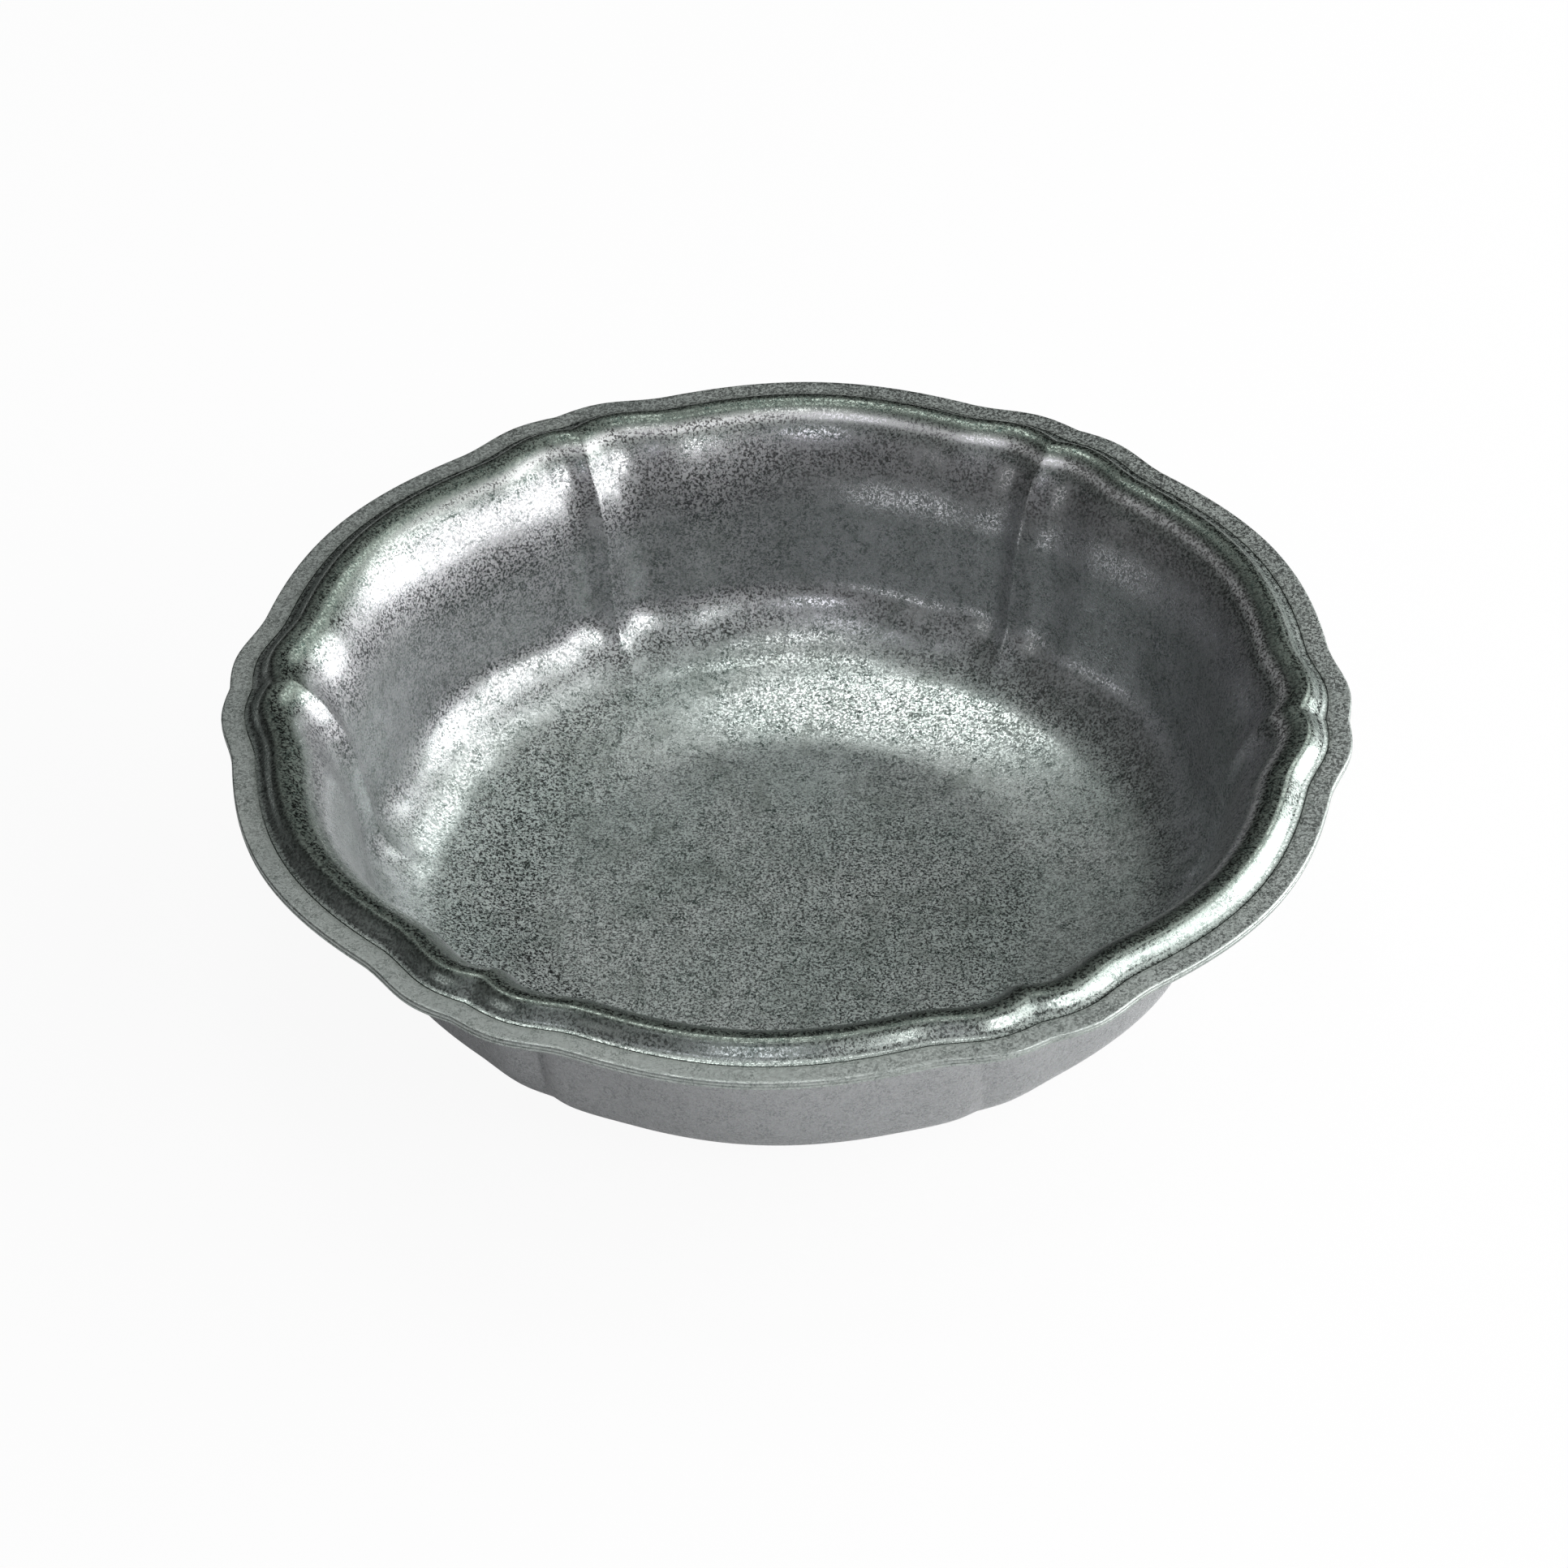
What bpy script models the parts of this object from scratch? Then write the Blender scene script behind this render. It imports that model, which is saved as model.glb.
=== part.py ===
"""Salad bowl with a scalloped border: a basin, the border around it and a foot ring.

Metres, +Z up.  The origin lies under the middle of the bowl, on the plane that
the foot ring stands on.  One notch of the border points along +X.
"""
import math
from collections import namedtuple

import bmesh
import bpy
from mathutils import Vector
from mathutils.geometry import interpolate_bezier

# Driving dimensions.  Radii are taken at the crest of a lobe, heights from the foot.
LOBES = 6
CREST_RADIUS = 0.1407
BORDER_WIDTH = 0.0060
BORDER_EDGE = 0.0021
BORDER_TOP = 0.0689
BEAD_HEIGHT = 0.0036
BEAD_WIDTH = 0.0057
WALL_TOP_RADIUS = 0.1119
WALL_TOP_DROP = 0.0234
WALL_FOOT_RADIUS = 0.1087
WALL_FOOT_DROP = 0.0417
FLOOR_RADIUS = 0.0888
DISC_RADIUS = 0.0630
DISC_SLOPE = 0.120
COVE_SLOPE = 0.306
SHEET = 0.0018
FOOT_HEIGHT = 0.0025
FOOT_WIDTH = 0.0042
SEAM = 0.0003

# The bracket between two lobes: a notch, an ear at each side of it, then a dip.
EAR_ANGLE = 4.0
DIP_ANGLE = 12.0
LOBE_RISE_POWER = 1.15
HALF_LOBE = 180.0 / LOBES

# How far notch, ear and dip stand from the crest of the lobe at three levels.
Bracket = namedtuple("Bracket", "notch ear dip")
BORDER_BRACKET = Bracket(-0.0007, 0.0002, -0.0025)
BEAD_BRACKET = Bracket(-0.0020, 0.0004, -0.0025)
WALL_BRACKET = Bracket(-0.0031, -0.0007, -0.0022)
ROUND = Bracket(0.0, 0.0, 0.0)

# Resolution of the lofts.
STEPS_PER_HALF_LOBE = 10
STEP_CROWDING = 1.6
FLANK_STEPS = 5
ROLL_STEPS = 8
WALL_STEPS = 2
COVE_STEPS = 7
FLOOR_STEPS = 2
FOOT_STEPS = 96

# Measures that follow from the driving ones.
FLOOR_TOP = FOOT_HEIGHT + SEAM + SHEET
CREASE_RADIUS = CREST_RADIUS - BORDER_WIDTH
CROWN_RADIUS = CREASE_RADIUS - BEAD_WIDTH
LEDGE_TOP = BORDER_TOP - 0.5 * BORDER_EDGE
LIP_BOTTOM = LEDGE_TOP + SEAM
BORDER_BOTTOM = BORDER_TOP - BORDER_EDGE

Station = namedtuple("Station", "r z bracket")


def mix(first, second, t):
    """Bracket between two others, at the fraction t."""
    return Bracket(*(a + (b - a) * t for a, b in zip(first, second)))


def smooth(t):
    """Ease from 0 to 1 with level ends."""
    return t * t * (3.0 - 2.0 * t)


def bracket_step(phi, bracket):
    """Radial step from the lobe's crest at phi degrees from a notch."""
    notch, ear, dip = bracket
    if phi < EAR_ANGLE:
        return notch + (ear - notch) * math.sin(0.5 * math.pi * phi / EAR_ANGLE)
    if phi < DIP_ANGLE:
        turn = math.cos(math.pi * (phi - EAR_ANGLE) / (DIP_ANGLE - EAR_ANGLE))
        return 0.5 * (ear + dip) + 0.5 * (ear - dip) * turn
    rise = ((phi - DIP_ANGLE) / (HALF_LOBE - DIP_ANGLE)) ** LOBE_RISE_POWER
    return dip * (1.0 - math.sin(0.5 * math.pi * rise))


def loft_angles():
    """Pairs of direction and distance from the nearest notch, in degrees, crowded at notches."""
    half = []
    for step in range(STEPS_PER_HALF_LOBE + 1):
        half.append(HALF_LOBE * (step / STEPS_PER_HALF_LOBE) ** STEP_CROWDING)
    pairs = []
    for lobe in range(LOBES):
        start = 2.0 * HALF_LOBE * lobe
        pairs += [(start + phi, phi) for phi in half]
        pairs += [(start + 2.0 * HALF_LOBE - phi, phi) for phi in half[-2:0:-1]]
    return pairs


def curve(start, start_pull, end_pull, end, steps):
    """Points of a cubic curve after its start; the pulls are the handles' offsets."""
    first = Vector((*start, 0.0))
    last = Vector((*end, 0.0))
    handle = first + Vector((*start_pull, 0.0))
    other = last + Vector((*end_pull, 0.0))
    points = interpolate_bezier(first, handle, other, last, steps + 1)
    return [(point.x, point.y) for point in points[1:]]


def floor_height(radius):
    """Height of the floor's upper side, which steepens from the level disc out to the cove."""
    out = radius - DISC_RADIUS
    steepening = (COVE_SLOPE - DISC_SLOPE) / (FLOOR_RADIUS - DISC_RADIUS)
    return FLOOR_TOP + DISC_SLOPE * out + 0.5 * steepening * out * out


def upper_section():
    """Stations of the basin's upper surface, from the border's crease to the floor's disc."""
    crease = (CREASE_RADIUS, BORDER_TOP)
    crown = (CROWN_RADIUS, BORDER_TOP + BEAD_HEIGHT)
    wall_top = (WALL_TOP_RADIUS, BORDER_TOP - WALL_TOP_DROP)
    wall_foot = (WALL_FOOT_RADIUS, BORDER_TOP - WALL_FOOT_DROP)
    floor_edge = (FLOOR_RADIUS, floor_height(FLOOR_RADIUS))

    stations = [Station(*crease, BORDER_BRACKET)]
    pull = 0.5 * BEAD_WIDTH
    for step, point in enumerate(curve(crease, (-pull, 0.0), (pull, 0.0), crown, FLANK_STEPS), 1):
        stations.append(Station(*point, mix(BORDER_BRACKET, BEAD_BRACKET, step / FLANK_STEPS)))

    draft = (WALL_TOP_RADIUS - WALL_FOOT_RADIUS) / (WALL_FOOT_DROP - WALL_TOP_DROP)
    reach = 0.45 * (CROWN_RADIUS - WALL_TOP_RADIUS)
    drop = 0.45 * (WALL_TOP_DROP + BEAD_HEIGHT)
    roll = curve(crown, (-reach, 0.0), (draft * drop, drop), wall_top, ROLL_STEPS)
    for step, point in enumerate(roll, 1):
        stations.append(Station(*point, mix(BEAD_BRACKET, WALL_BRACKET, smooth(step / ROLL_STEPS))))

    for step in range(1, WALL_STEPS + 1):
        t = step / WALL_STEPS
        radius = wall_top[0] + (wall_foot[0] - wall_top[0]) * t
        height = wall_top[1] + (wall_foot[1] - wall_top[1]) * t
        stations.append(Station(radius, height, WALL_BRACKET))

    drop = 0.58 * (wall_foot[1] - floor_edge[1])
    reach = 0.50 * (WALL_FOOT_RADIUS - FLOOR_RADIUS)
    cove = curve(wall_foot, (-draft * drop, -drop), (reach, COVE_SLOPE * reach), floor_edge, COVE_STEPS)
    for step, point in enumerate(cove, 1):
        stations.append(Station(*point, mix(WALL_BRACKET, ROUND, smooth(step / COVE_STEPS))))

    for step in range(1, FLOOR_STEPS + 1):
        radius = FLOOR_RADIUS + (DISC_RADIUS - FLOOR_RADIUS) * step / FLOOR_STEPS
        stations.append(Station(radius, floor_height(radius), ROUND))
    return stations


def under_section(upper):
    """Stations of the basin's underside: a lip below the bead, then the sheet's outer face."""
    first = FLANK_STEPS + 3
    under = []
    for before, here, after in zip(upper[first - 1:], upper[first:], upper[first + 1:]):
        along = Vector((after.r - before.r, after.z - before.z)).normalized()
        under.append(Station(here.r - along.y * SHEET, here.z + along.x * SHEET, here.bracket))
    under.append(Station(DISC_RADIUS, FLOOR_TOP - SHEET, ROUND))
    lip_end = Station(CREASE_RADIUS, LIP_BOTTOM, BORDER_BRACKET)
    lip_root = Station(0.5 * (CROWN_RADIUS + under[0].r), LIP_BOTTOM, BEAD_BRACKET)
    return [lip_end, lip_root] + under


def border_section():
    """Stations around the border: flat top, reeded edge, underside and the ledge for the lip."""
    inner = CREASE_RADIUS + SEAM
    corner = 0.12 * BORDER_EDGE
    groove = 0.10 * BORDER_EDGE
    middle = BORDER_TOP - 0.5 * BORDER_EDGE
    outline = [
        (inner, BORDER_TOP),
        (CREST_RADIUS - corner, BORDER_TOP),
        (CREST_RADIUS, BORDER_TOP - corner),
        (CREST_RADIUS, middle + 1.5 * groove),
        (CREST_RADIUS - groove, middle),
        (CREST_RADIUS, middle - 1.5 * groove),
        (CREST_RADIUS, BORDER_BOTTOM + corner),
        (CREST_RADIUS - corner, BORDER_BOTTOM),
        (CROWN_RADIUS, BORDER_BOTTOM),
        (CROWN_RADIUS, LEDGE_TOP),
        (inner, LEDGE_TOP),
    ]
    return [Station(*point, BORDER_BRACKET) for point in outline]


def ring(bm, station):
    """Closed loop of points that follows the lobes at one station."""
    verts = []
    for direction, phi in loft_angles():
        radius = station.r + bracket_step(phi, station.bracket)
        turn = math.radians(direction)
        verts.append(bm.verts.new((radius * math.cos(turn), radius * math.sin(turn), station.z)))
    return verts


def bridge(bm, first, second):
    """Strip of faces between two loops of points."""
    for i in range(len(first)):
        bm.faces.new((first[i - 1], first[i], second[i], second[i - 1]))


def metal(name, colour, roughness):
    """Plain metal with the piece's own colour and roughness."""
    material = bpy.data.materials.new(name)
    material.use_nodes = True
    shader = material.node_tree.nodes["Principled BSDF"]
    shader.inputs["Base Color"].default_value = (*colour, 1.0)
    shader.inputs["Metallic"].default_value = 1.0
    shader.inputs["Roughness"].default_value = roughness
    return material


def finish(bm, name, material, parent):
    """Turn a bmesh into a named object under the parent, facing out and shaded smooth."""
    bmesh.ops.triangulate(bm, faces=bm.faces[:])
    bmesh.ops.recalc_face_normals(bm, faces=bm.faces[:])
    mesh = bpy.data.meshes.new(name)
    bm.to_mesh(mesh)
    bm.free()
    mesh.shade_smooth()
    mesh.set_sharp_from_angle(angle=math.radians(35.0))
    mesh.materials.append(material)
    piece = bpy.data.objects.new(name, mesh)
    bpy.context.collection.objects.link(piece)
    piece.parent = parent
    print(name, "triangles:", len(mesh.polygons))


def make_basin(parent):
    """Raised shell: floor, cove, ribbed wall, rolled shoulder and bead."""
    bm = bmesh.new()
    upper = upper_section()
    loops = [ring(bm, station) for station in upper[::-1] + under_section(upper)]
    for first, second in zip(loops, loops[1:]):
        bridge(bm, first, second)
    bm.faces.new(loops[0])
    bm.faces.new(loops[-1])
    finish(bm, "basin", metal("basin_metal", (0.40, 0.42, 0.41), 0.34), parent)


def make_border(parent):
    """Flat scalloped border with a reeded edge and a ledge under the basin's lip."""
    bm = bmesh.new()
    loops = [ring(bm, station) for station in border_section()]
    for first, second in zip(loops, loops[1:] + loops[:1]):
        bridge(bm, first, second)
    finish(bm, "rim_border", metal("border_metal", (0.36, 0.39, 0.37), 0.42), parent)


def make_foot(parent):
    """Low ring below the floor, flat on the side it stands on."""
    chamfer = 0.2 * FOOT_HEIGHT
    inner = DISC_RADIUS
    outer = DISC_RADIUS + FOOT_WIDTH
    outline = [
        (inner, FOOT_HEIGHT),
        (outer, FOOT_HEIGHT),
        (outer, chamfer),
        (outer - chamfer, 0.0),
        (inner + chamfer, 0.0),
        (inner, chamfer),
    ]
    bm = bmesh.new()
    verts = [bm.verts.new((radius, 0.0, height)) for radius, height in outline]
    edges = [bm.edges.new((verts[i - 1], verts[i])) for i in range(len(verts))]
    bmesh.ops.spin(
        bm, geom=verts + edges, axis=(0.0, 0.0, 1.0), cent=(0.0, 0.0, 0.0),
        steps=FOOT_STEPS, angle=2.0 * math.pi, use_merge=True,
    )
    bmesh.ops.remove_doubles(bm, verts=bm.verts[:], dist=0.00001)
    finish(bm, "foot_ring", metal("foot_metal", (0.36, 0.37, 0.37), 0.40), parent)


for leftover in list(bpy.data.objects):
    bpy.data.objects.remove(leftover, do_unlink=True)

bowl = bpy.data.objects.new("salad_bowl", None)
bpy.context.collection.objects.link(bowl)
make_basin(bowl)
make_border(bowl)
make_foot(bowl)
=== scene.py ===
# %% [markdown]
# # A salad bowl with a scalloped border
#
# The bowl is three pieces of darkened metal: a basin, the flat border around it and a low
# foot ring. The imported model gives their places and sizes. This lesson makes the fine
# surfaces over it, gives them an aged, speckled finish and lights them like a tabletop photo.

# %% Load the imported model
import math
from collections import namedtuple

import bmesh
import bpy
from mathutils import Matrix, Vector
from mathutils.geometry import interpolate_bezier


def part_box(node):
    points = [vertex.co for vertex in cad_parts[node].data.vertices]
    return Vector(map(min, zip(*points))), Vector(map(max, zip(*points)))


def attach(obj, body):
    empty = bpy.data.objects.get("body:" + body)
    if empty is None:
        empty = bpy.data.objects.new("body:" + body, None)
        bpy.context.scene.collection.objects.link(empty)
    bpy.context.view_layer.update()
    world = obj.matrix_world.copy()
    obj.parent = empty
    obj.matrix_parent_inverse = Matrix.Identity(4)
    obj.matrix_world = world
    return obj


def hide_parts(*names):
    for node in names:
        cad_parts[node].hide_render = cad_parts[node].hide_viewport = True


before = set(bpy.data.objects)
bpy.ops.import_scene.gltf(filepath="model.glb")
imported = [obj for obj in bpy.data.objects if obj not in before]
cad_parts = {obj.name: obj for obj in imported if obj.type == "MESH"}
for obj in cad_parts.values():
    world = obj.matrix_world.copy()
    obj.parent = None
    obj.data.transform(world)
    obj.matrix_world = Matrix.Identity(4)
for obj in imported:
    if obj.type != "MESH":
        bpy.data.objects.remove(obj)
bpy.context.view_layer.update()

print("nodes:", sorted(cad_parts))

# %% [markdown]
# ## The bracket between two lobes
#
# Seen from above, the rim isn't a circle. Each of its lobes swells to a crest, falls to a dip,
# rises to a small ear and drops into a sharp notch, and the next lobe mirrors it. One could
# draw that outline by hand as a curve, but a formula in the angle from the notch stays the
# same at every level of the bowl, and only its three depths change on the way down.

# %% Measures and the bracket formula
LOBES = 6
HALF_LOBE = 180.0 / LOBES
EAR_ANGLE = 4.0
DIP_ANGLE = 12.0
LOBE_RISE_POWER = 1.15
NOTCH_SOFTNESS = 0.22

Bracket = namedtuple("Bracket", "notch ear dip")
BORDER_BRACKET = Bracket(-0.0007, 0.0002, -0.0025)
BEAD_BRACKET = Bracket(-0.0020, 0.0004, -0.0025)
WALL_BRACKET = Bracket(-0.0031, -0.0007, -0.0022)
ROUND = Bracket(0.0, 0.0, 0.0)


def blend(first, second, t):
    """Named values between two sets of the same kind, at the fraction t."""
    return first._make(a + (b - a) * t for a, b in zip(first, second))


def fade(t, start=0.0, end=1.0):
    """Ease from 0 at the start to 1 at the end, with level ends."""
    t = min(max((t - start) / (end - start), 0.0), 1.0)
    return t * t * (3.0 - 2.0 * t)


def bracket_step(phi, bracket):
    """Radial step from the lobe's crest at phi degrees from a notch."""
    notch, ear, dip = bracket
    phi = math.hypot(phi, NOTCH_SOFTNESS) - NOTCH_SOFTNESS
    if phi < EAR_ANGLE:
        return notch + (ear - notch) * math.sin(0.5 * math.pi * phi / EAR_ANGLE)
    if phi < DIP_ANGLE:
        turn = math.cos(math.pi * (phi - EAR_ANGLE) / (DIP_ANGLE - EAR_ANGLE))
        return 0.5 * (ear + dip) + 0.5 * (ear - dip) * turn
    rise = ((phi - DIP_ANGLE) / (HALF_LOBE - DIP_ANGLE)) ** LOBE_RISE_POWER
    return dip * (1.0 - math.sin(0.5 * math.pi * min(rise, 1.0)))


low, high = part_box("rim_border")
CREST_RADIUS = high.y
BORDER_TOP = high.z
BORDER_BOTTOM = low.z
print("crest radius", round(CREST_RADIUS, 4), "border top", round(BORDER_TOP, 4))

# %% [markdown]
# ## What the finish does along the section
#
# Old metal isn't the same all over. The bead is dark and green, partly a real patina and partly
# painted shade, the wall has a lilac cast, the floor has the most specks, and a painted highlight
# runs along one side of the bead. Those changes run along the section of the bowl, so each stretch
# of it has four numbers, from 0 to 1: patina with painted shade, lilac cast, specks and painted
# highlight. The materials read them later. Painting them by hand would do too, but numbers in the
# section stay with the form when a measure changes.

# %% Finish of each stretch
# Patina is partly a real green patina and partly painted shade on the bead's crown and roll top.
Finish = namedtuple("Finish", "patina cast specks wear", defaults=(0.0,))
# The crease's patina number is painted shade in the crease where the bead meets the border.
CREASE_FINISH = Finish(patina=0.7, cast=0.0, specks=0.7)
FLANK_FINISH = Finish(patina=0.3, cast=0.0, specks=0.7)
CROWN_FINISH = Finish(patina=1.0, cast=0.0, specks=0.7)
WALL_FINISH = Finish(patina=0.0, cast=1.0, specks=0.7)
FLOOR_FINISH = Finish(patina=0.0, cast=0.0, specks=0.95)
DISC_FINISH = Finish(patina=0.0, cast=0.0, specks=1.0)
OUTSIDE_FINISH = Finish(patina=0.10, cast=0.8, specks=0.35)
LIP_FINISH = Finish(patina=0.5, cast=0.0, specks=0.6)
FLANK_DARKENS_FROM = 0.4
PATINA_AND_SHADE_LOSS = 0.8
PATINA_AND_SHADE_FADE = (0.20, 0.46)
CAST_FADE = (0.0, 0.5)
CROWN_SPECKS = 0.95
SPECK_LOSS = 0.3
SPECK_FADE = (0.34, 0.56)
# Painted highlight: a bright line painted along the roll just below the bead, where a lamp glints.
PAINTED_HIGHLIGHT_PLACE = 0.25
PAINTED_HIGHLIGHT_WIDTH = 0.05


def roll_finish(t):
    """Finish of the roll: patina with painted shade and specks thin out where it steepens, below a
    painted highlight line.
    """
    return Finish(patina=1.0 - PATINA_AND_SHADE_LOSS * fade(t, *PATINA_AND_SHADE_FADE),
                  cast=fade(t, *CAST_FADE),
                  specks=CROWN_SPECKS - SPECK_LOSS * fade(t, *SPECK_FADE),
                  wear=math.exp(-((t - PAINTED_HIGHLIGHT_PLACE) / PAINTED_HIGHLIGHT_WIDTH) ** 2))


# Patina with painted shade, at steps down the roll.
print("patina down the roll:", [round(roll_finish(0.1 * step).patina, 2) for step in range(6)])

# %% [markdown]
# ## The section of the bowl
#
# Cut through a lobe, the basin is one line: a flank rises from the border to the bead, the
# shoulder rolls over into a nearly upright wall, and a cove turns into the floor, which dips
# a little towards a level disc. Arcs would leave a break in the shine where they meet, so
# each stretch is a cubic curve whose handles lie along its neighbours. The cove turns a
# little softer inside than outside, and its ribs end sooner outside.

# %% Section measures
BORDER_WIDTH = 0.0060
BEAD_HEIGHT = 0.0036
BEAD_WIDTH = 0.0057
WALL_TOP_RADIUS = 0.1119
WALL_TOP_DROP = 0.0234
WALL_FOOT_RADIUS = 0.1087
WALL_FOOT_DROP = 0.0417
FLOOR_RADIUS = 0.0888
DISC_RADIUS = 0.0630
DISC_SLOPE = 0.120
COVE_SLOPE = 0.306
SHEET = 0.0018
SEAM = 0.0003

CREASE_RADIUS = CREST_RADIUS - BORDER_WIDTH
CROWN_RADIUS = CREASE_RADIUS - BEAD_WIDTH
FLOOR_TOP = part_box("foot_ring")[1].z + SEAM + SHEET
WALL_DRAFT = (WALL_TOP_RADIUS - WALL_FOOT_RADIUS) / (WALL_FOOT_DROP - WALL_TOP_DROP)
print("floor top", round(FLOOR_TOP, 4), "wall draft", round(WALL_DRAFT, 3))

# %% Section curves
Station = namedtuple("Station", "r z bracket finish")
Cove = namedtuple("Cove", "wall_pull rib_end")
INSIDE_COVE = Cove(wall_pull=0.40, rib_end=1.0)
OUTSIDE_COVE = Cove(wall_pull=0.58, rib_end=0.7)
FLANK_PULL = 0.5
ROLL_PULL = 0.45
FLOOR_PULL = 0.50
FLANK_STEPS = 10
ROLL_STEPS = 26
WALL_STEPS = 10
COVE_STEPS = 26
FLOOR_STEPS = 12
FLOOR_OVERLAP = 0.006
DISC_RINGS = (0.75, 0.5, 0.25, 0.06)


def curve(start, start_pull, end_pull, end, steps):
    """Points of a cubic curve after its start, each with its fraction of the way."""
    first = Vector((*start, 0.0))
    last = Vector((*end, 0.0))
    handle = first + Vector((*start_pull, 0.0))
    other = last + Vector((*end_pull, 0.0))
    points = interpolate_bezier(first, handle, other, last, steps + 1)
    return [(step / steps, point.x, point.y) for step, point in enumerate(points)][1:]


def floor_height(radius):
    """Height of the floor's upper side, which steepens from the level disc out to the cove."""
    out = max(0.0, radius - DISC_RADIUS)
    steepening = (COVE_SLOPE - DISC_SLOPE) / (FLOOR_RADIUS - DISC_RADIUS)
    return FLOOR_TOP + DISC_SLOPE * out + 0.5 * steepening * out * out


def bead_stations():
    """Stations from the border's crease up the flank, over the bead and down the roll."""
    crease = (CREASE_RADIUS, BORDER_TOP)
    crown = (CROWN_RADIUS, BORDER_TOP + BEAD_HEIGHT)
    wall_top = (WALL_TOP_RADIUS, BORDER_TOP - WALL_TOP_DROP)
    stations = [Station(*crease, BORDER_BRACKET, CREASE_FINISH)]
    pull = FLANK_PULL * BEAD_WIDTH
    for t, radius, height in curve(crease, (-pull, 0.0), (pull, 0.0), crown, FLANK_STEPS):
        finish = blend(FLANK_FINISH, CROWN_FINISH, fade(t, FLANK_DARKENS_FROM))
        stations.append(Station(radius, height, blend(BORDER_BRACKET, BEAD_BRACKET, t), finish))
    reach = ROLL_PULL * (CROWN_RADIUS - WALL_TOP_RADIUS)
    drop = ROLL_PULL * (WALL_TOP_DROP + BEAD_HEIGHT)
    roll = curve(crown, (-reach, 0.0), (WALL_DRAFT * drop, drop), wall_top, ROLL_STEPS)
    for t, radius, height in roll:
        bracket = blend(BEAD_BRACKET, WALL_BRACKET, fade(t))
        stations.append(Station(radius, height, bracket, roll_finish(t)))
    return stations


def basin_stations(cove):
    """Stations of the basin's upper surface, from the border's crease to the floor's disc."""
    wall_top = Vector((WALL_TOP_RADIUS, BORDER_TOP - WALL_TOP_DROP))
    wall_foot = Vector((WALL_FOOT_RADIUS, BORDER_TOP - WALL_FOOT_DROP))
    floor_edge = Vector((FLOOR_RADIUS, floor_height(FLOOR_RADIUS)))
    stations = bead_stations()
    for step in range(1, WALL_STEPS + 1):
        point = wall_top.lerp(wall_foot, step / WALL_STEPS)
        stations.append(Station(*point, WALL_BRACKET, WALL_FINISH))
    drop = cove.wall_pull * (wall_foot.y - floor_edge.y)
    reach = FLOOR_PULL * (WALL_FOOT_RADIUS - FLOOR_RADIUS)
    turn = curve(wall_foot, (-WALL_DRAFT * drop, -drop), (reach, COVE_SLOPE * reach),
                 floor_edge, COVE_STEPS)
    for t, radius, height in turn:
        bracket = blend(WALL_BRACKET, ROUND, fade(t, 0.0, cove.rib_end))
        stations.append(Station(radius, height, bracket, blend(WALL_FINISH, FLOOR_FINISH, t)))
    span = FLOOR_RADIUS - DISC_RADIUS + FLOOR_OVERLAP
    for step in range(1, FLOOR_STEPS + 1):
        radius = FLOOR_RADIUS - span * step / FLOOR_STEPS
        stations.append(Station(radius, floor_height(radius), ROUND, FLOOR_FINISH))
    for share in DISC_RINGS:
        stations.append(Station(DISC_RADIUS * share, FLOOR_TOP, ROUND, DISC_FINISH))
    return stations


INSIDE = basin_stations(INSIDE_COVE)
print("section stations:", len(INSIDE))

# %% [markdown]
# ## Lofting the lobes
#
# A spin would make every level round. Here each station becomes a closed ring that follows
# the bracket formula, and neighbouring rings are joined by faces, which is a loft. The
# points crowd together at the notches, where the outline turns fastest. Each point keeps
# the four numbers of its finish, and the painted highlight is kept to one side of the bowl.

# %% Loft helper
STEPS_PER_HALF_LOBE = 26
STEP_CROWDING = 1.5
# Side of the bowl that carries the painted highlight line.
PAINTED_HIGHLIGHT_SIDE = math.radians(45.0)
PAINTED_HIGHLIGHT_SPREAD = 0.9
SHARP_ANGLE = math.radians(50.0)


def loft_angles():
    """Pairs of direction and distance from the nearest notch, in degrees, crowded at notches."""
    half = []
    for step in range(STEPS_PER_HALF_LOBE + 1):
        half.append(HALF_LOBE * (step / STEPS_PER_HALF_LOBE) ** STEP_CROWDING)
    pairs = []
    for lobe in range(LOBES):
        start = 2.0 * HALF_LOBE * lobe
        pairs += [(start + phi, phi) for phi in half]
        pairs += [(start + 2.0 * HALF_LOBE - phi, phi) for phi in half[-2:0:-1]]
    return pairs


ANGLES = loft_angles()


def make_piece(name, bm):
    """Smooth-shaded object from the bmesh, with its sharp edges marked."""
    bmesh.ops.recalc_face_normals(bm, faces=bm.faces[:])
    mesh = bpy.data.meshes.new(name)
    bm.to_mesh(mesh)
    bm.free()
    mesh.shade_smooth()
    mesh.set_sharp_from_angle(angle=SHARP_ANGLE)
    piece = bpy.data.objects.new(name, mesh)
    bpy.context.scene.collection.objects.link(piece)
    print(name, "faces:", len(mesh.polygons))
    return piece


def add_ring(bm, station, layers):
    """Closed ring of points at a station, with the finish written on each."""
    ring = []
    for direction, phi in ANGLES:
        radius = station.r + bracket_step(phi, station.bracket)
        turn = math.radians(direction)
        vert = bm.verts.new((radius * math.cos(turn), radius * math.sin(turn), station.z))
        # Painted highlight strength around the bowl, strongest on one side.
        highlit_share = fade(0.5 + PAINTED_HIGHLIGHT_SPREAD * math.cos(turn - PAINTED_HIGHLIGHT_SIDE))
        finish = station.finish._replace(wear=station.finish.wear * highlit_share)
        for layer, value in zip(layers, finish):
            vert[layer] = value
        ring.append(vert)
    return ring


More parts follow.
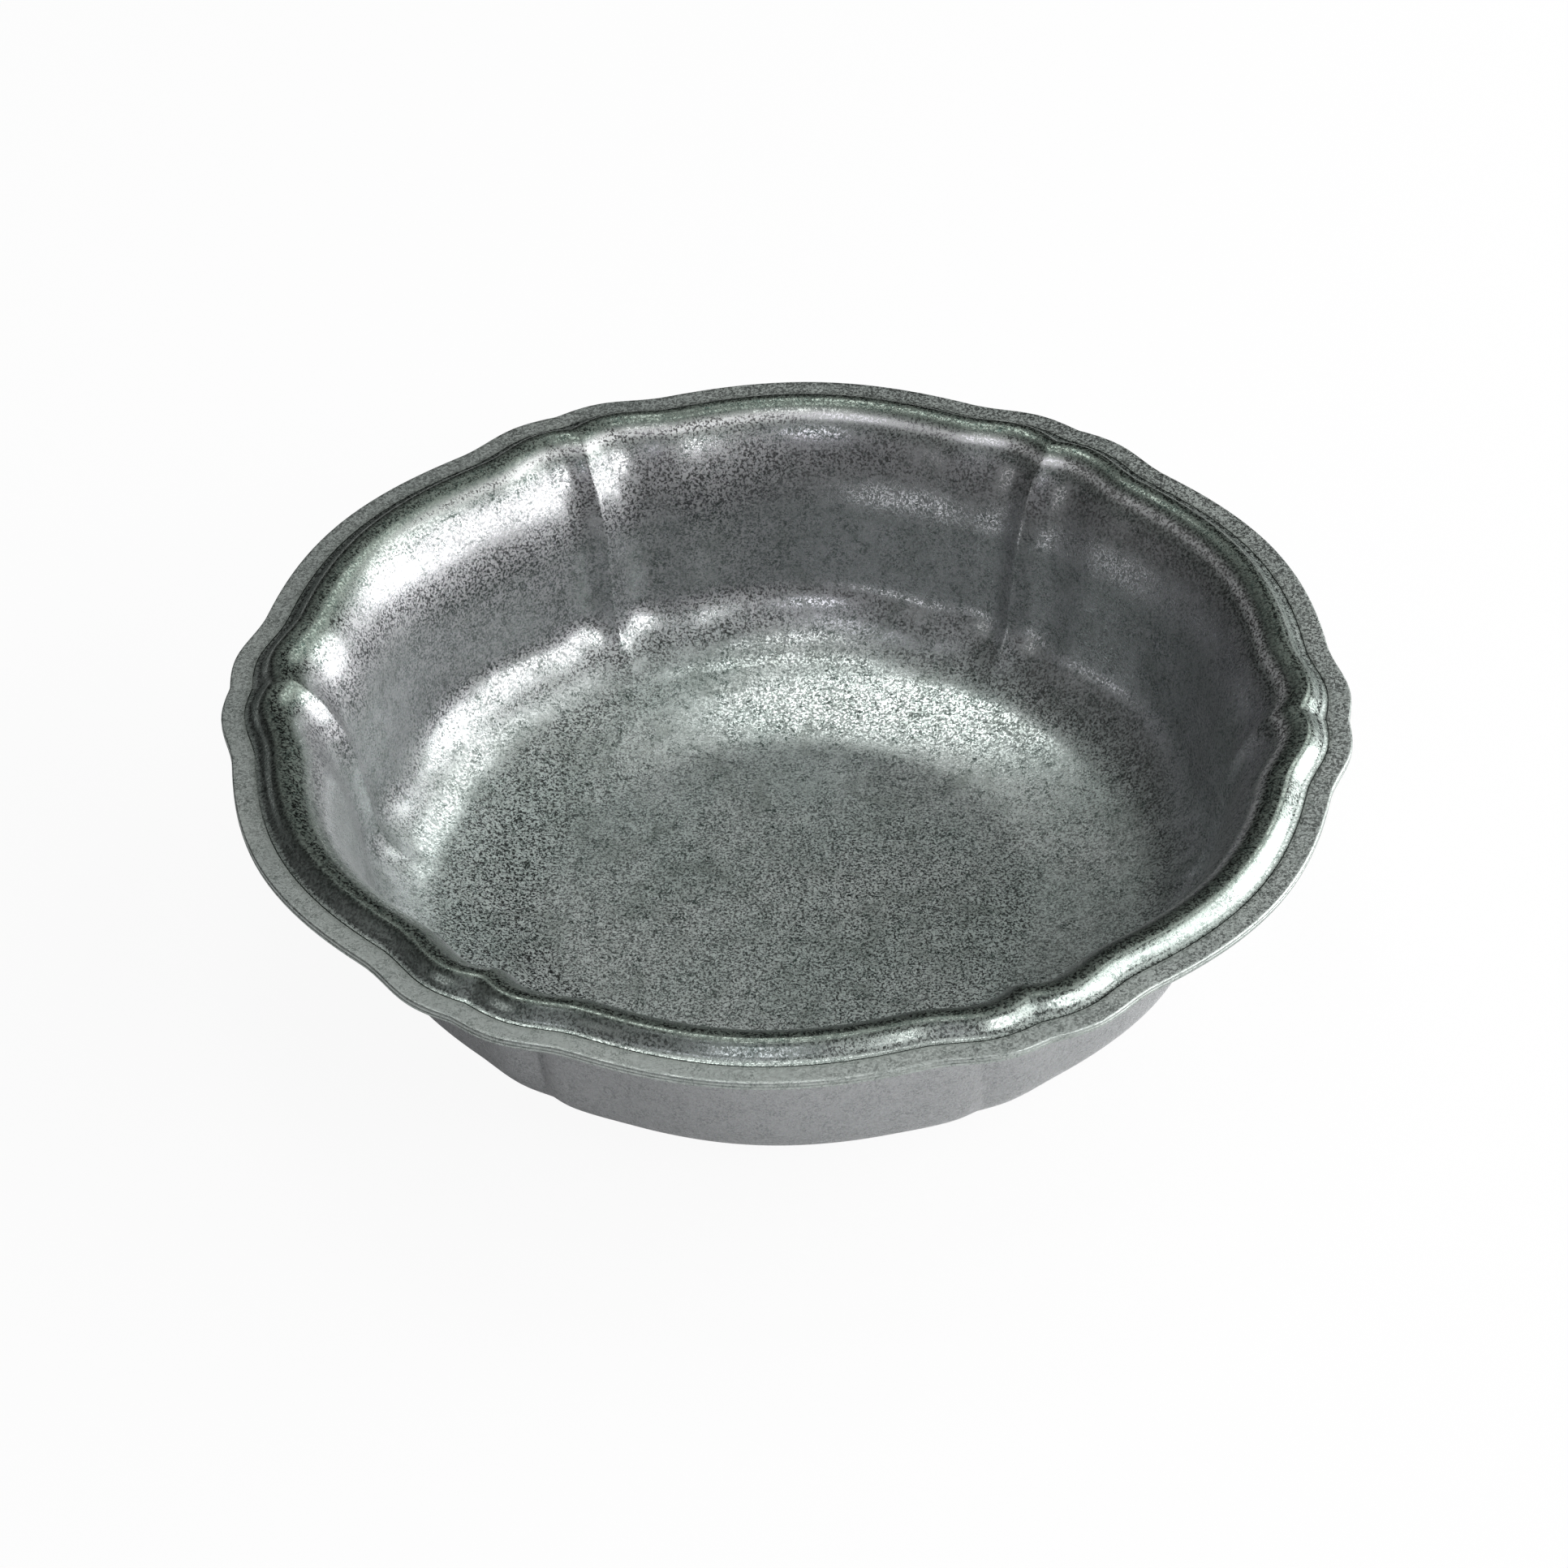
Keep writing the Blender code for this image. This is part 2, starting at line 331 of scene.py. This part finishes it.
def loft(name, stations, closed):
    """Object lofted through the stations: a closed tube, or a shell capped at both ends."""
    bm = bmesh.new()
    layers = [bm.verts.layers.float.new(key) for key in Finish._fields]
    rings = [add_ring(bm, station, layers) for station in stations]
    pairs = list(zip(rings, rings[1:]))
    if closed:
        pairs.append((rings[-1], rings[0]))
    count = len(ANGLES)
    for first, second in pairs:
        for i in range(count):
            j = (i + 1) % count
            bm.faces.new((first[i], first[j], second[j], second[i]))
    if not closed:
        bm.faces.new(rings[0])
        bm.faces.new(rings[-1])
    return make_piece(name, bm)


print("points in a ring:", len(ANGLES))

# %% [markdown]
# ## The basin
#
# The real basin is one sheet of metal with the ribs pressed into it, so its outer side
# repeats the forms of the inner one. The underside is found by stepping off the sheet's
# thickness along the section's normal, and ends in a lip below the bead.

# %% Basin
LEDGE_TOP = 0.5 * (BORDER_TOP + BORDER_BOTTOM)
LIP_BOTTOM = LEDGE_TOP + SEAM
UNDERSIDE_ROLL_STEP = 8
UNDERSIDE_START = FLANK_STEPS + UNDERSIDE_ROLL_STEP


def outside_stations():
    """Stations of the basin's underside: a lip below the bead, then the sheet's outer face."""
    upper = basin_stations(OUTSIDE_COVE)[UNDERSIDE_START - 1:]
    under = []
    for before, here, after in zip(upper, upper[1:], upper[2:]):
        along = Vector((after.r - before.r, after.z - before.z)).normalized()
        under.append(here._replace(r=here.r - along.y * SHEET, z=here.z + along.x * SHEET,
                                   finish=OUTSIDE_FINISH))
    root_radius = 0.5 * (CROWN_RADIUS + under[0].r)
    lip_end = Station(CREASE_RADIUS, LIP_BOTTOM, BORDER_BRACKET, LIP_FINISH)
    lip_root = Station(root_radius, LIP_BOTTOM, BEAD_BRACKET, LIP_FINISH)
    return [lip_end, lip_root] + under


basin = loft("basin_shell", INSIDE[::-1] + outside_stations(), closed=False)
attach(basin, "root")
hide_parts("basin")

# %% [markdown]
# ## The border
#
# The border is a flat ring with a thin edge. Two fine lines run along that edge, so its
# section has a shallow groove with softened corners. A narrow ledge below carries the
# basin's lip. Its inner edge, in the crease at the bead, is painted darker as shade.

# %% Border
EDGE_ROUNDING = 0.22
EDGE_GROOVE = 0.09
CORNER_STEPS = 5
GROOVE_STEPS = 6
BORDER_RINGS = (0.3, 0.6, 0.85)
BORDER_SPECKS = 0.8
# Painted shade along the border's inner edge, in the crease at the bead.
CREASE_SHADE = 0.5
CREASE_SHADE_WIDTH = 0.0015
CREASE_SHADE_RINGS = 3
CREASE_SHADE_STEP = 0.0004


def arc(centre, radius, start, end, steps):
    """Points of an arc in the section, with angles in degrees."""
    points = []
    for step in range(steps + 1):
        turn = math.radians(start + (end - start) * step / steps)
        points.append((centre[0] + radius * math.cos(turn), centre[1] + radius * math.sin(turn)))
    return points


def border_stations():
    """Stations around the border: top, reeded edge, underside and the ledge for the lip."""
    edge = BORDER_TOP - BORDER_BOTTOM
    inner = CREASE_RADIUS + SEAM
    corner = EDGE_ROUNDING * edge
    flat = CREST_RADIUS - corner
    middle = 0.5 * (BORDER_TOP + BORDER_BOTTOM)
    outline = [(inner + CREASE_SHADE_STEP * step, BORDER_TOP) for step in range(CREASE_SHADE_RINGS)]
    outline += [(inner + (flat - inner) * share, BORDER_TOP) for share in BORDER_RINGS]
    outline += arc((flat, BORDER_TOP - corner), corner, 90.0, 0.0, CORNER_STEPS)
    outline += arc((CREST_RADIUS, middle), EDGE_GROOVE * edge, 90.0, 270.0, GROOVE_STEPS)
    outline += arc((flat, BORDER_BOTTOM + corner), corner, 0.0, -90.0, CORNER_STEPS)
    outline += [(CROWN_RADIUS, BORDER_BOTTOM), (CROWN_RADIUS, LEDGE_TOP), (inner, LEDGE_TOP)]
    stations = []
    for radius, height in outline:
        # Painted shade: darker towards the inner edge.
        shaded = CREASE_SHADE * fade(1.0 - (radius - inner) / CREASE_SHADE_WIDTH)
        finish = Finish(patina=shaded, cast=0.0, specks=BORDER_SPECKS)
        stations.append(Station(radius, height, BORDER_BRACKET, finish))
    return stations


border = loft("border_ring", border_stations(), closed=True)
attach(border, "root")
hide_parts("rim_border")

# %% [markdown]
# ## The foot ring
#
# The ring is round, so a spin of its small section is enough. Its lower corners are worn
# round from being set down.

# %% Foot ring
FOOT_STEPS = 192
FOOT_ROUNDING = 0.0005
FOOT_CORNER_STEPS = 4
WELD_DISTANCE = 0.00001


def make_foot():
    """Spun ring with rounded lower corners, in the place of its solid."""
    foot_low, foot_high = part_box("foot_ring")
    outer = foot_high.x
    inner = DISC_RADIUS
    height = foot_low.z + FOOT_ROUNDING
    outline = [(inner, foot_high.z), (outer, foot_high.z)]
    outline += arc((outer - FOOT_ROUNDING, height), FOOT_ROUNDING, 0.0, -90.0, FOOT_CORNER_STEPS)
    outline += arc((inner + FOOT_ROUNDING, height), FOOT_ROUNDING, -90.0, -180.0, FOOT_CORNER_STEPS)
    bm = bmesh.new()
    verts = [bm.verts.new((radius, 0.0, level)) for radius, level in outline]
    edges = [bm.edges.new((verts[i - 1], verts[i])) for i in range(len(verts))]
    bmesh.ops.spin(bm, geom=verts + edges, axis=(0.0, 0.0, 1.0), cent=(0.0, 0.0, 0.0),
                   steps=FOOT_STEPS, angle=2.0 * math.pi, use_merge=True)
    bmesh.ops.remove_doubles(bm, verts=bm.verts[:], dist=WELD_DISTANCE)
    return make_piece("foot_band", bm)


foot = make_foot()
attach(foot, "root")
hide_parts("foot_ring")

# %% [markdown]
# ## Speckle and tarnish as node groups
#
# The metal was darkened and rubbed back, which leaves fine dark specks in the hollows of its
# grain, in clumps a few millimetres wide, and broad cloudy tones over the whole piece. Shiny
# and matt grains lie side by side, so a lamp shows as a highlight with a grainy, soft edge.
# One even roughness would give either a hard edge or a dull surface. All three pieces share
# this, so it is built once as two node groups, and each material sets how strong it is.

# %% Node helpers


def add(tree, kind, place, **inputs):
    """Node of that kind in the tree, with its input values set by name."""
    node = tree.nodes.new(kind)
    node.location = place
    for key, value in inputs.items():
        node.inputs[key.replace("_", " ")].default_value = value
    return node


def feed(tree, socket, value):
    """Give an input socket a link from another socket, or else a value."""
    if isinstance(value, bpy.types.NodeSocket):
        tree.links.new(value, socket)
    else:
        socket.default_value = value


def remap(tree, source, place, low, high, to_low=0.0, to_high=1.0):
    """Smooth Map Range from a source socket; returns its output."""
    node = add(tree, "ShaderNodeMapRange", place, From_Min=low, From_Max=high,
               To_Min=to_low, To_Max=to_high)
    node.interpolation_type = "SMOOTHSTEP"
    feed(tree, node.inputs["Value"], source)
    return node.outputs["Result"]


def calculate(tree, operation, place, *operands):
    """Math node; each operand is a socket or a number."""
    node = add(tree, "ShaderNodeMath", place)
    node.operation = operation
    for socket, value in zip(node.inputs, operands):
        feed(tree, socket, value)
    return node.outputs[0]


def colour_mix(tree, place, factor, first, second):
    """Mix of two colours, each a socket or an RGBA tuple; the factor is a socket."""
    node = add(tree, "ShaderNodeMix", place)
    node.data_type = "RGBA"
    feed(tree, node.inputs["Factor"], factor)
    feed(tree, node.inputs["A"], first)
    feed(tree, node.inputs["B"], second)
    return node.outputs["Result"]


def noise(tree, coordinates, place, **inputs):
    """Noise texture over the object's own coordinates; returns its node."""
    node = add(tree, "ShaderNodeTexNoise", place, **inputs)
    tree.links.new(coordinates.outputs["Object"], node.inputs["Vector"])
    return node


def new_group(name, inputs, outputs):
    """Node group with float sockets; returns its tree, input node and output node."""
    tree = bpy.data.node_groups.new(name, "ShaderNodeTree")
    for key, value in inputs.items():
        socket = tree.interface.new_socket(key, in_out="INPUT", socket_type="NodeSocketFloat")
        socket.default_value = value
    for key in outputs:
        tree.interface.new_socket(key, in_out="OUTPUT", socket_type="NodeSocketFloat")
    source = add(tree, "NodeGroupInput", (-900, 0))
    target = add(tree, "NodeGroupOutput", (700, 0))
    print("group", name, "gives", ", ".join(outputs))
    return tree, source, target


# %% Speckle group
SPECK_GRAIN = 1300.0
CLUMP_GRAIN = 230.0
MATT_GRAIN = 1500.0
SPECK_RANGE = (0.48, 0.57)
CLUMP_RANGE = (0.36, 0.64)
MATT_RANGE = (0.42, 0.58)
CLUMPED_SHARE = 0.65


def make_speckle_group():
    """Specks, pit height and matt grains from the place on the object."""
    tree, source, target = new_group("aged_speckle", {"Grain": SPECK_GRAIN, "Amount": 1.0},
                                     ("Specks", "Pits", "Matt"))
    place = add(tree, "ShaderNodeTexCoord", (-900, -250))
    fine = noise(tree, place, (-600, 150), Detail=3.0, Roughness=0.62, Distortion=1.3)
    tree.links.new(source.outputs["Grain"], fine.inputs["Scale"])
    specks = remap(tree, fine.outputs["Fac"], (-350, 150), *SPECK_RANGE)

    cloud = noise(tree, place, (-600, -200), Scale=CLUMP_GRAIN, Detail=4.0, Roughness=0.6)
    clumps = remap(tree, cloud.outputs["Fac"], (-350, -200), *CLUMP_RANGE)
    gathered = calculate(tree, "MULTIPLY_ADD", (-100, 0), clumps, CLUMPED_SHARE,
                         1.0 - CLUMPED_SHARE)
    dotted = calculate(tree, "MULTIPLY", (100, 100), specks, gathered)
    scaled = calculate(tree, "MULTIPLY", (300, 100), dotted, source.outputs["Amount"])
    tree.links.new(scaled, target.inputs["Specks"])
    pits = calculate(tree, "SUBTRACT", (300, -100), 1.0, scaled)
    tree.links.new(pits, target.inputs["Pits"])

    sanded = noise(tree, place, (-600, -500), Scale=MATT_GRAIN, Detail=2.0, Roughness=0.6,
                   Distortion=0.6)
    matt = remap(tree, sanded.outputs["Fac"], (-350, -500), *MATT_RANGE)
    tree.links.new(matt, target.inputs["Matt"])
    return tree


speckle_group = make_speckle_group()

# %% Cloud group
CLOUD_GRAIN = 28.0
SMUDGE_GRAIN = 70.0
TONE_RANGE = (0.33, 0.67)
SMUDGE_RANGE = (0.46, 0.70)


def make_cloud_group():
    """Broad cloudy tone and hand smudges, each from 0 to 1."""
    tree, source, target = new_group("rubbed_cloud", {"Size": CLOUD_GRAIN}, ("Tone", "Smudge"))
    place = add(tree, "ShaderNodeTexCoord", (-900, -250))
    broad = noise(tree, place, (-400, 150), Detail=3.0, Roughness=0.55, Distortion=0.4)
    tree.links.new(source.outputs["Size"], broad.inputs["Scale"])
    tone = remap(tree, broad.outputs["Fac"], (-150, 150), *TONE_RANGE)
    tree.links.new(tone, target.inputs["Tone"])
    wiped = noise(tree, place, (-400, -150), Scale=SMUDGE_GRAIN, Detail=6.0, Roughness=0.66,
                  Distortion=0.8)
    smudge = remap(tree, wiped.outputs["Fac"], (-150, -150), *SMUDGE_RANGE)
    tree.links.new(smudge, target.inputs["Smudge"])
    return tree


cloud_group = make_cloud_group()

# %% [markdown]
# ## The metals
#
# Each piece has its own metal. The basin's is satin, with a lilac cast on the wall, a dark
# green patina on the bead that also holds painted shade, and a painted highlight line along one
# side of the bead, and its specks are thickest on the floor. The border is duller and greener,
# with painted shade along its inner edge. The four numbers from the loft steer these changes, so
# the finish follows the form. The foot ring has no such numbers and is the same all round.

# %% Metal builder
Metal = namedtuple("Metal", "bright cool lilac olive dark stain rough matt wall_matt specks bump")
# Pale colour of the painted highlight line on the bead.
PAINTED_HIGHLIGHT_COLOUR = (0.86, 0.87, 0.87, 1.0)
SMUDGE_ROUGHNESS = 0.06
PIT_DEPTH = 0.0002


def group_node(tree, group, place):
    """Instance of a node group in a material."""
    node = add(tree, "ShaderNodeGroup", place)
    node.node_tree = group
    return node


def finish_numbers(tree):
    """Sockets with the four numbers that the loft wrote on the piece."""
    sockets = []
    for row, key in enumerate(Finish._fields):
        node = add(tree, "ShaderNodeAttribute", (-1700, 600 - 200 * row))
        node.attribute_name = key
        sockets.append(node.outputs["Fac"])
    return Finish(*sockets)


def metal_base(name, look):
    """Material with both groups and the plain colour under the specks."""
    material = bpy.data.materials.new(name)
    material.use_nodes = True
    tree = material.node_tree
    shader = tree.nodes["Principled BSDF"]
    shader.inputs["Metallic"].default_value = 1.0
    speckle = group_node(tree, speckle_group, (-900, 200))
    cloud = group_node(tree, cloud_group, (-1300, -150))
    ground = colour_mix(tree, (-1100, 400), cloud.outputs["Tone"], look.bright, look.cool)
    bump = add(tree, "ShaderNodeBump", (-300, -500), Strength=look.bump, Distance=PIT_DEPTH)
    tree.links.new(speckle.outputs["Pits"], bump.inputs["Height"])
    tree.links.new(bump.outputs["Normal"], shader.inputs["Normal"])
    return material, shader, speckle, cloud, ground


def set_roughness(tree, shader, speckle, cloud, look, matt):
    """Roughness from the metal's own, its matt grains and the smudges."""
    grain = calculate(tree, "MULTIPLY_ADD", (-600, -250), speckle.outputs["Matt"], matt, look.rough)
    wiped = calculate(tree, "MULTIPLY_ADD", (-400, -250), cloud.outputs["Smudge"],
                      SMUDGE_ROUGHNESS, grain)
    tree.links.new(wiped, shader.inputs["Roughness"])


def shaped_metal(name, look):
    """Aged metal that changes along the section, by the numbers of the loft."""
    material, shader, speckle, cloud, ground = metal_base(name, look)
    tree = material.node_tree
    finish = finish_numbers(tree)
    amount = calculate(tree, "MULTIPLY", (-1150, 200), finish.specks, look.specks)
    tree.links.new(amount, speckle.inputs["Amount"])
    ground = colour_mix(tree, (-850, 450), finish.cast, ground, look.lilac)
    stain = calculate(tree, "MULTIPLY", (-1000, 300), cloud.outputs["Smudge"], look.stain)
    stain = calculate(tree, "MULTIPLY", (-850, 300), stain, finish.specks)
    # The olive mix takes the smudge stain or the patina with its painted shade, whichever is
    # stronger.
    stain = calculate(tree, "MAXIMUM", (-700, 300), stain, finish.patina)
    ground = colour_mix(tree, (-600, 450), stain, ground, look.olive)
    colour = colour_mix(tree, (-350, 200), speckle.outputs["Specks"], ground, look.dark)
    # Painted highlight: the colour is mixed towards pale metal along the line.
    colour = colour_mix(tree, (-150, 200), finish.wear, colour, PAINTED_HIGHLIGHT_COLOUR)
    tree.links.new(colour, shader.inputs["Base Color"])
    matt = calculate(tree, "MULTIPLY", (-1000, -300), finish.specks, look.matt)
    matt = calculate(tree, "MULTIPLY_ADD", (-850, -300), finish.cast, look.wall_matt, matt)
    set_roughness(tree, shader, speckle, cloud, look, matt)
    return material


def even_metal(name, look):
    """Aged metal that is the same all over the piece."""
    material, shader, speckle, cloud, ground = metal_base(name, look)
    tree = material.node_tree
    speckle.inputs["Amount"].default_value = look.specks
    colour = colour_mix(tree, (-350, 200), speckle.outputs["Specks"], ground, look.dark)
    tree.links.new(colour, shader.inputs["Base Color"])
    set_roughness(tree, shader, speckle, cloud, look, look.matt)
    return material


# %% Three metals
BASIN_METAL = Metal(
    bright=(0.56, 0.605, 0.585, 1.0), cool=(0.48, 0.54, 0.515, 1.0),
    lilac=(0.535, 0.53, 0.55, 1.0), olive=(0.18, 0.21, 0.185, 1.0), dark=(0.05, 0.075, 0.065, 1.0),
    stain=0.52, rough=0.17, matt=0.42, wall_matt=0.10, specks=1.0, bump=0.08)
BORDER_METAL = Metal(
    bright=(0.52, 0.56, 0.535, 1.0), cool=(0.46, 0.50, 0.48, 1.0),
    lilac=(0.45, 0.47, 0.46, 1.0), olive=(0.24, 0.27, 0.24, 1.0), dark=(0.08, 0.105, 0.09, 1.0),
    stain=0.2, rough=0.28, matt=0.36, wall_matt=0.0, specks=0.7, bump=0.10)
FOOT_METAL = Metal(
    bright=(0.48, 0.49, 0.49, 1.0), cool=(0.42, 0.43, 0.43, 1.0),
    lilac=None, olive=None, dark=(0.10, 0.115, 0.11, 1.0),
    stain=0.0, rough=0.26, matt=0.25, wall_matt=0.0, specks=0.4, bump=0.08)

basin.data.materials.append(shaped_metal("basin_shell_metal", BASIN_METAL))
border.data.materials.append(shaped_metal("border_ring_metal", BORDER_METAL))
foot.data.materials.append(even_metal("foot_band_metal", FOOT_METAL))
print("materials:", [piece.data.materials[0].name for piece in (basin, border, foot)])

# %% [markdown]
# ## Floor, lights and camera
#
# Metal shows what stands around it, so the lights are soft panels, and each stands where a
# bright band on the bowl mirrors it. A bank of them at the right, from the table up to
# overhead, gives the bright roll and cove at the left. Four behind and above light the floor,
# the back wall and the bead, and three in front and at the left, two of them lilac, keep the
# dark side from going black. The floor is white to the camera, dim in the metal, and keeps
# a faint shadow.

# %% Floor
FLOOR_SIZE = 30.0
FLOOR_GRID = 8
FLOOR_COLOUR = (0.88, 0.88, 0.88, 1.0)
WHITE_COLOUR = (1.0, 1.0, 1.0, 1.0)
SEEN_GLOW = 0.93
MIRRORED_GLOW = 0.05


def floor_material():
    """White to the camera, dim in mirrors, with part of its brightness left to the lamps."""
    material = bpy.data.materials.new("studio_white")
    material.use_nodes = True
    tree = material.node_tree
    tree.nodes.clear()
    output = add(tree, "ShaderNodeOutputMaterial", (500, 0))
    diffuse = add(tree, "ShaderNodeBsdfDiffuse", (0, 100), Color=FLOOR_COLOUR)
    glow = add(tree, "ShaderNodeEmission", (0, -100), Color=WHITE_COLOUR, Strength=1.0)
    path = add(tree, "ShaderNodeLightPath", (-800, 0))
    mirrored = calculate(tree, "MAXIMUM", (-600, -100), path.outputs["Is Glossy Ray"],
                         path.outputs["Is Transmission Ray"])
    mirrored = calculate(tree, "MULTIPLY", (-400, -100), mirrored, MIRRORED_GLOW)
    seen = calculate(tree, "MULTIPLY", (-400, 100), path.outputs["Is Camera Ray"], SEEN_GLOW)
    share = calculate(tree, "MAXIMUM", (-200, 0), seen, mirrored)
    mixed = add(tree, "ShaderNodeMixShader", (250, 0))
    tree.links.new(share, mixed.inputs["Fac"])
    tree.links.new(diffuse.outputs[0], mixed.inputs[1])
    tree.links.new(glow.outputs[0], mixed.inputs[2])
    tree.links.new(mixed.outputs[0], output.inputs["Surface"])
    return material


def make_floor():
    """Wide pale floor under the bowl."""
    bm = bmesh.new()
    bmesh.ops.create_grid(bm, x_segments=FLOOR_GRID, y_segments=FLOOR_GRID, size=0.5 * FLOOR_SIZE)
    mesh = bpy.data.meshes.new("studio_floor")
    bm.to_mesh(mesh)
    bm.free()
    mesh.materials.append(floor_material())
    floor = bpy.data.objects.new("studio_floor", mesh)
    bpy.context.scene.collection.objects.link(floor)
    print("floor", FLOOR_SIZE, "m wide")


make_floor()

# %% Lights
CAMERA_TURN = 4.62786
AIM = Vector((0.0, 0.0, 0.5 * BORDER_TOP))
PANEL_DISTANCE = 1.8
WHITE = (1.0, 1.0, 1.0)
LILAC = (0.95, 0.93, 1.0)


def toward(azimuth, elevation):
    """Unit direction; azimuth 0 is the camera's right, 90 is away from the camera."""
    turn = math.radians(azimuth + CAMERA_TURN)
    lift = math.radians(elevation)
    across = math.cos(lift)
    return Vector((across * math.cos(turn), across * math.sin(turn), math.sin(lift)))


def soft_panel(name, azimuth, elevation, size, brightness, tint=WHITE, distance=PANEL_DISTANCE):
    """Area lamp that faces the bowl, with its brightness given as the panel is seen."""
    lamp = bpy.data.lights.new(name, "AREA")
    lamp.shape = "RECTANGLE"
    lamp.size, lamp.size_y = size
    lamp.energy = brightness * math.pi * lamp.size * lamp.size_y
    lamp.color = tint
    panel = bpy.data.objects.new(name, lamp)
    direction = toward(azimuth, elevation)
    panel.location = AIM + direction * distance
    panel.rotation_euler = direction.to_track_quat("Z", "Y").to_euler()
    panel.visible_camera = False
    bpy.context.scene.collection.objects.link(panel)
    print(name, "watts", round(lamp.energy, 2))


# %% Bank of panels at the right
soft_panel("low_right_panel", 15.0, 6.0, (0.66, 0.46), 11.0)
soft_panel("low_middle_panel", -5.0, 6.0, (0.66, 0.46), 7.0)
soft_panel("low_side_panel", -25.0, 6.0, (0.66, 0.46), 2.0)
soft_panel("right_panel", 17.0, 20.0, (0.70, 0.46), 8.5)
soft_panel("middle_panel", -22.0, 20.0, (0.80, 0.46), 4.5)
soft_panel("side_panel", -45.0, 34.0, (0.66, 0.46), 7.8)
soft_panel("far_right_panel", 50.0, 35.0, (0.60, 0.60), 2.8)
soft_panel("upper_right_panel", 6.0, 34.0, (1.25, 0.46), 3.8)
soft_panel("high_right_panel", 35.0, 47.0, (0.66, 0.50), 2.4)
soft_panel("over_right_panel", 15.0, 60.0, (0.66, 0.40), 1.4)

# %% Panels behind, above, in front and at the left
soft_panel("back_panel", 104.0, 61.0, (0.62, 0.40), 4.4)
soft_panel("far_panel", 108.0, 36.0, (1.0, 0.50), 0.18, distance=2.0)
soft_panel("top_back_panel", 85.0, 80.0, (0.60, 0.30), 3.8)
soft_panel("top_front_panel", -90.0, 81.0, (0.60, 0.30), 3.0)
soft_panel("front_panel", -97.0, 41.0, (0.65, 0.36), 2.8, tint=LILAC)
soft_panel("front_left_panel", -150.0, 25.0, (0.80, 0.50), 0.7)
soft_panel("high_left_panel", -120.0, 64.0, (0.70, 0.40), 1.2, tint=LILAC)

# %% World
BRIGHT_SIDE = toward(-120.0, 40.0)
DIM_GLOW = 0.02
SIDE_GLOW = 0.10
FACING_RANGE = (-0.4, 0.9)


def make_world():
    """Dim room, a little paler towards the front left than at the back."""
    world = bpy.data.worlds.new("studio_room")
    world.use_nodes = True
    tree = world.node_tree
    place = add(tree, "ShaderNodeTexCoord", (-900, 0))
    facing = add(tree, "ShaderNodeVectorMath", (-700, 0))
    facing.operation = "DOT_PRODUCT"
    facing.inputs[1].default_value = BRIGHT_SIDE
    tree.links.new(place.outputs["Generated"], facing.inputs[0])
    glow = remap(tree, facing.outputs["Value"], (-500, 0), *FACING_RANGE, DIM_GLOW, SIDE_GLOW)
    tree.links.new(glow, tree.nodes["Background"].inputs["Color"])
    bpy.context.scene.world = world
    print("world from", DIM_GLOW, "to", SIDE_GLOW)


make_world()

# %% Camera
LENS = 119.79
SENSOR_WIDTH = 36.0
CAMERA_ELEVATION = 39.0912
CAMERA_DISTANCE = 1.27620
CAMERA_ROLL = math.radians(-1.22842)
TARGET_RIGHT = -0.00090
TARGET_AWAY = -0.03190


def make_camera():
    """Camera at the photo's angle, aimed at the plane of the border's top."""
    data = bpy.data.cameras.new("photo_camera")
    data.lens = LENS
    data.sensor_width = SENSOR_WIDTH
    camera = bpy.data.objects.new("photo_camera", data)
    back = toward(-90.0, CAMERA_ELEVATION)
    right = toward(0.0, 0.0)
    up = back.cross(right)
    tilted = math.cos(CAMERA_ROLL) * right + math.sin(CAMERA_ROLL) * up
    above = math.cos(CAMERA_ROLL) * up - math.sin(CAMERA_ROLL) * right
    target = TARGET_RIGHT * right + TARGET_AWAY * toward(90.0, 0.0)
    target.z = BORDER_TOP
    turn = Matrix((tilted, above, back)).transposed().to_4x4()
    camera.matrix_world = Matrix.Translation(target + back * CAMERA_DISTANCE) @ turn
    bpy.context.scene.collection.objects.link(camera)
    bpy.context.scene.camera = camera
    print("camera at", [round(c, 3) for c in camera.matrix_world.translation])


make_camera()
bpy.context.scene.view_settings.view_transform = "Standard"
